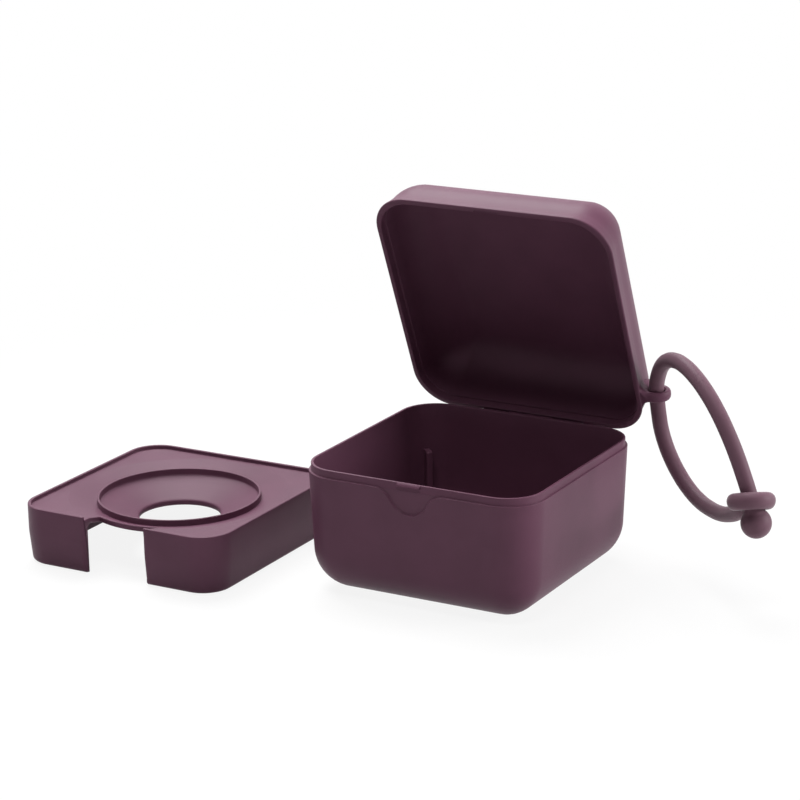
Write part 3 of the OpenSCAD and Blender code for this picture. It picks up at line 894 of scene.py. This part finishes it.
class Sheet:
    """Points and faces of a mesh, gathered line by line."""

    def __init__(self):
        self.points, self.faces = [], []

    def put(self, x, y, z):
        """Adds a point and gives its number."""
        self.points.append((x, y, z))
        return len(self.points) - 1

    def strip(self, a, b):
        """Adds the faces between two lines of point numbers."""
        self.faces += [(a[k], a[k + 1], b[k + 1], b[k]) for k in range(len(a) - 1)]


# Rounded edge of the notch, as shares of its radius: out from the notch's side and down from the face
NOTCH_TURN = [(1 - math.sin(a), 1 - math.cos(a)) for a in arc(4)]


def notch_side(sheet, end, sign):
    """Closes the section at one side of the notch, with a rounded edge all round.

    Gives the points where it meets the notch's arc, from the deck's top round to its underside."""
    rows = end["rows"]
    top_z, low_z = dish_z(NOTCH_EDGE_R), under_z(NOTCH_EDGE_R)
    start_y = -math.sqrt(NOTCH_EDGE_R ** 2 - NOTCH_EDGE_X ** 2)
    section = [(start_y, top_z)] + [(y, z) for _, y, z, _ in rows] + [(start_y, low_z)]
    inward = outline_normals(section)
    if area(section) < 0:
        inward = -inward
    line = [end["upper"], *end["outer"], end["lower"]]
    upper, lower = [line[0]], [line[-1]]
    for out, down in NOTCH_TURN[1:]:
        previous = line
        r, x = NOTCH_R - NOTCH_SOFT * out, NOTCH_HALF + NOTCH_SOFT * out
        y = -math.sqrt(r * r - x * x)
        line = [sheet.put(sign * x, y, top_z - NOTCH_SOFT * down)]
        for (_, row_y, row_z, soft), normal in zip(rows, inward[1:]):
            inset = normal * soft * down
            line.append(sheet.put(sign * (NOTCH_HALF + soft * out), row_y + inset[0], row_z + inset[1]))
        line.append(sheet.put(sign * x, y, low_z + NOTCH_SOFT * down))
        if sign > 0:
            sheet.strip(line, previous)
        else:
            sheet.strip(previous, line)
        upper.append(line[0])
        lower.append(line[-1])
    sheet.faces.append(tuple(line if sign > 0 else reversed(line)))
    return upper + lower[::-1]


def notch_arc(sheet, inner, left, right):
    """Sweeps the deck's section along the notch's arc between its left and right sides.

    left and right are (numbers of the inner points, numbers of the rounded edge's points)."""
    top_z, low_z = dish_z(NOTCH_EDGE_R), under_z(NOTCH_EDGE_R)
    steps = 20
    edge = [(NOTCH_R - NOTCH_SOFT * out, NOTCH_HALF + NOTCH_SOFT * out, NOTCH_SOFT * down)
            for out, down in NOTCH_TURN]

    def on_arc(r, x, z, share):
        """Point at distance r, between the notch's sides x to the left and to the right."""
        lean = math.asin(x / r) * (2 * share - 1)
        return sheet.put(r * math.sin(lean), -r * math.cos(lean), z)

    last = left
    for i in range(1, steps + 1):
        if i == steps:
            new = right
        else:
            share = i / steps
            middle = [on_arc(r, r * math.sin(NOTCH_ANGLE), z, share) for r, z in inner]
            upper = [on_arc(r, x, top_z - drop, share) for r, x, drop in edge]
            lower = [on_arc(r, x, low_z + drop, share) for r, x, drop in reversed(edge)]
            new = (middle, upper + lower)
        sheet.strip(*([ends[-1], *middle, *ends] for middle, ends in (last, new)))
        last = new


def tray_shell(plastic):
    """Tray as columns of one closed section round its plan, closed again at the notch."""
    sheet = Sheet()
    inner = inner_stations()
    columns = tray_columns()
    grid = []
    for number, column in enumerate(columns):
        line = {"inner": [sheet.put(*column.circle(r), z) for r, z in inner]}
        line["upper"] = sheet.put(*column.circle(NOTCH_EDGE_R), dish_z(NOTCH_EDGE_R))
        line["lower"] = sheet.put(*column.circle(NOTCH_EDGE_R), under_z(NOTCH_EDGE_R))
        line["rows"] = outer_stations(column, number in (0, len(columns) - 1))
        line["outer"] = [sheet.put(*row[:3]) for row in line["rows"]]
        grid.append(line)
    for pair in zip(grid, grid[1:]):
        sheet.strip(*([g["lower"], *g["inner"], g["upper"], *g["outer"], g["lower"]] for g in pair))
    right = notch_side(sheet, grid[0], 1)
    left = notch_side(sheet, grid[-1], -1)
    notch_arc(sheet, inner, (grid[-1]["inner"], left), (grid[0]["inner"], right))

    shell = add_mesh("tray_shell", sheet.points, sheet.faces)
    cut(shell, *[drain_tool(sign) for sign in (-1, 1)])
    shell.data.transform(moved(*TRAY_AT))
    dress(shell, plastic, "tray")
    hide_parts("tray")


def drain_tool(sign):
    """Round-topped slot through the rear skirt."""
    left, right = sign * DRAIN_X - DRAIN_W / 2, sign * DRAIN_X + DRAIN_W / 2
    outline = [(left, -1), (right, -1)]
    outline += fillet((right - DRAIN_SOFT, DRAIN_H - DRAIN_SOFT), DRAIN_SOFT, 0, 90)
    outline += fillet((left + DRAIN_SOFT, DRAIN_H - DRAIN_SOFT), DRAIN_SOFT, 90, 180)
    tool = extruded("drain", outline, -TRAY_HALF - 1, -TRAY_HALF + SKIRT_T + 1)
    tool.data.transform(turned(90, "X"))
    return tool


# ---------------------------------------------------------------- materials
NOISE_LOW, NOISE_HIGH = 0.3, 0.7  # most of a noise lies between these


def new_material(name):
    """Empty material with one principled shader on its output."""
    material = bpy.data.materials.new(name)
    material.use_nodes = True
    tree = material.node_tree
    tree.nodes.clear()
    output = tree.nodes.new("ShaderNodeOutputMaterial")
    shader = tree.nodes.new("ShaderNodeBsdfPrincipled")
    tree.links.new(shader.outputs["BSDF"], output.inputs["Surface"])
    return material, tree, shader


def noise(tree, coordinates, size_mm, roughness=0.5):
    """Noise with features of about a size in millimetres."""
    node = tree.nodes.new("ShaderNodeTexNoise")
    node.inputs["Scale"].default_value = 1 / (size_mm * MM)
    node.inputs["Detail"].default_value = 3.0
    node.inputs["Roughness"].default_value = roughness
    tree.links.new(coordinates, node.inputs["Vector"])
    return node.outputs["Fac"]


def spread(tree, value, low, high):
    """Spreads a noise over the range from low to high."""
    node = tree.nodes.new("ShaderNodeMapRange")
    node.inputs["From Min"].default_value = NOISE_LOW
    node.inputs["From Max"].default_value = NOISE_HIGH
    node.inputs["To Min"].default_value = low
    node.inputs["To Max"].default_value = high
    tree.links.new(value, node.inputs["Value"])
    return node.outputs["Result"]


def moulded(name, colour, rough, grain_mm, grain_depth, variation, sheen):
    """Moulded plastic or silicone: fine erosion grain, faint cloudiness and a slightly uneven gloss."""
    cloud_mm, gloss_change = 14, 0.05
    material, tree, shader = new_material(name)
    place = tree.nodes.new("ShaderNodeTexCoord").outputs["Object"]
    cloud = noise(tree, place, cloud_mm)
    ramp = tree.nodes.new("ShaderNodeValToRGB")
    darker, lighter = ramp.color_ramp.elements
    darker.position, lighter.position = NOISE_LOW, NOISE_HIGH
    darker.color = (*[c * (1 - variation) for c in colour], 1)
    lighter.color = (*[c * (1 + variation) for c in colour], 1)
    tree.links.new(cloud, ramp.inputs["Fac"])
    tree.links.new(ramp.outputs["Color"], shader.inputs["Base Color"])
    grain = noise(tree, place, grain_mm, 0.6)
    gloss = spread(tree, grain, rough - gloss_change, rough + gloss_change)
    tree.links.new(gloss, shader.inputs["Roughness"])
    bump = tree.nodes.new("ShaderNodeBump")
    bump.inputs["Strength"].default_value = 0.6
    bump.inputs["Distance"].default_value = grain_depth * MM
    tree.links.new(grain, bump.inputs["Height"])
    tree.links.new(bump.outputs["Normal"], shader.inputs["Normal"])
    shader.inputs["Specular IOR Level"].default_value = 0.16
    shader.inputs["Sheen Weight"].default_value = sheen
    return material


def dress(obj, material, body):
    """Gives a piece its material and parents it to its body's empty."""
    obj.data.materials.clear()
    obj.data.materials.append(material)
    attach(obj, body)


# ---------------------------------------------------------------- stage and light
def area_light(name, place, size, watts):
    """White rectangular light aimed at the middle of the case."""
    data = bpy.data.lights.new(name, "AREA")
    data.shape = "RECTANGLE"
    data.size, data.size_y = size
    data.energy = watts
    light = linked(name, data)
    light.location = place
    light.rotation_euler = (Vector(LIGHT_AIM) - Vector(place)).to_track_quat("-Z", "Y").to_euler()


def seen_directly(tree):
    """1 for camera, glossy and transmission rays, so that the background is the same white in them all."""
    path = tree.nodes.new("ShaderNodeLightPath")
    first, second = (tree.nodes.new("ShaderNodeMath") for _ in range(2))
    first.operation = second.operation = "MAXIMUM"
    tree.links.new(path.outputs["Is Camera Ray"], first.inputs[0])
    tree.links.new(path.outputs["Is Glossy Ray"], first.inputs[1])
    tree.links.new(first.outputs["Value"], second.inputs[0])
    tree.links.new(path.outputs["Is Transmission Ray"], second.inputs[1])
    return second.outputs["Value"]


def make_floor():
    """Pale floor that shows as white with the object's soft shadow, fading to plain white further out."""
    mesh = bpy.data.meshes.new("floor")
    corners = [(x * FLOOR_HALF, y * FLOOR_HALF, 0) for x, y in ((-1, -1), (1, -1), (1, 1), (-1, 1))]
    mesh.from_pydata(corners, [], [(0, 1, 2, 3)])
    floor = linked("floor", mesh)
    floor.location.z = FLOOR_Z
    material, tree, shader = new_material("floor_pale")
    shader.inputs["Base Color"].default_value = (*FLOOR_PALE, 1)
    shader.inputs["Roughness"].default_value = 0.9
    shader.inputs["Specular IOR Level"].default_value = 0
    output = next(n for n in tree.nodes if n.type == "OUTPUT_MATERIAL")
    shade, white = tree.nodes.new("ShaderNodeBsdfDiffuse"), tree.nodes.new("ShaderNodeEmission")
    shade.inputs["Color"].default_value = WHITE
    place = tree.nodes.new("ShaderNodeTexCoord").outputs["Object"]
    far = tree.nodes.new("ShaderNodeVectorMath")
    far.operation = "LENGTH"
    tree.links.new(place, far.inputs[0])
    fade = tree.nodes.new("ShaderNodeMapRange")
    fade.interpolation_type = "SMOOTHSTEP"
    fade.inputs["From Min"].default_value = FADE_FROM
    fade.inputs["From Max"].default_value = FADE_TO
    fade.inputs["To Min"].default_value = 1 - FLOOR_SHADOW
    fade.inputs["To Max"].default_value = 1
    tree.links.new(far.outputs["Value"], fade.inputs["Value"])
    shown, whole = tree.nodes.new("ShaderNodeMixShader"), tree.nodes.new("ShaderNodeMixShader")
    tree.links.new(fade.outputs["Result"], shown.inputs["Fac"])
    tree.links.new(shade.outputs["BSDF"], shown.inputs[1])
    tree.links.new(white.outputs["Emission"], shown.inputs[2])
    tree.links.new(seen_directly(tree), whole.inputs["Fac"])
    tree.links.new(shader.outputs["BSDF"], whole.inputs[1])
    tree.links.new(shown.outputs["Shader"], whole.inputs[2])
    tree.links.new(whole.outputs["Shader"], output.inputs["Surface"])
    mesh.materials.append(material)


def make_world():
    """White background that lights the scene only faintly."""
    world = bpy.data.worlds.new("world")
    world.use_nodes = True
    tree = world.node_tree
    tree.nodes.clear()
    output = tree.nodes.new("ShaderNodeOutputWorld")
    seen, lit = tree.nodes.new("ShaderNodeBackground"), tree.nodes.new("ShaderNodeBackground")
    seen.inputs["Color"].default_value = WHITE
    lit.inputs["Color"].default_value = (*SKY_TINT, 1)
    lit.inputs["Strength"].default_value = SKY_STRENGTH
    mix = tree.nodes.new("ShaderNodeMixShader")
    tree.links.new(seen_directly(tree), mix.inputs["Fac"])
    tree.links.new(lit.outputs["Background"], mix.inputs[1])
    tree.links.new(seen.outputs["Background"], mix.inputs[2])
    tree.links.new(mix.outputs["Shader"], output.inputs["Surface"])
    bpy.context.scene.world = world


def make_lights():
    """Key light above the left rear, a weak one above the front and a low one from the right rear."""
    area_light("overhead", (-0.35, 0.25, 0.76), size=(0.6, 0.6), watts=9.6)
    area_light("above_front", (0.1, -0.30, 0.85), size=(0.4, 0.2), watts=1.9)
    area_light("from_right", (0.8, 0.32, 0.30), size=(0.5, 0.4), watts=5.6)


# ---------------------------------------------------------------- the scene
def build():
    """Camera and cord first, then the mouldings, the stage and the lights."""
    make_camera()
    silicone = moulded("plum_silicone", PLUM_STRAP, rough=0.5, grain_mm=0.22, grain_depth=0.02,
                       variation=0.05, sheen=0.15)
    plastic = moulded("plum_plastic", PLUM, rough=0.45, grain_mm=0.30, grain_depth=0.03,
                      variation=0.06, sheen=0.0)
    loop = strap_cord(silicone)
    ball = strap_ball(silicone)
    eye = strap_eye(silicone)
    base_shell(plastic)
    corner_ribs(plastic)
    base_knuckles(plastic)
    catch_bead(plastic)
    lid_shell(plastic)
    lid_knuckle(plastic)
    strap_lug(plastic)
    tray_shell(plastic)
    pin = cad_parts["hinge_pin"]
    pin.data.materials.clear()
    pin.data.materials.append(plastic)
    make_floor()
    make_world()
    make_lights()
    bpy.context.scene.view_settings.view_transform = "Standard"


build()
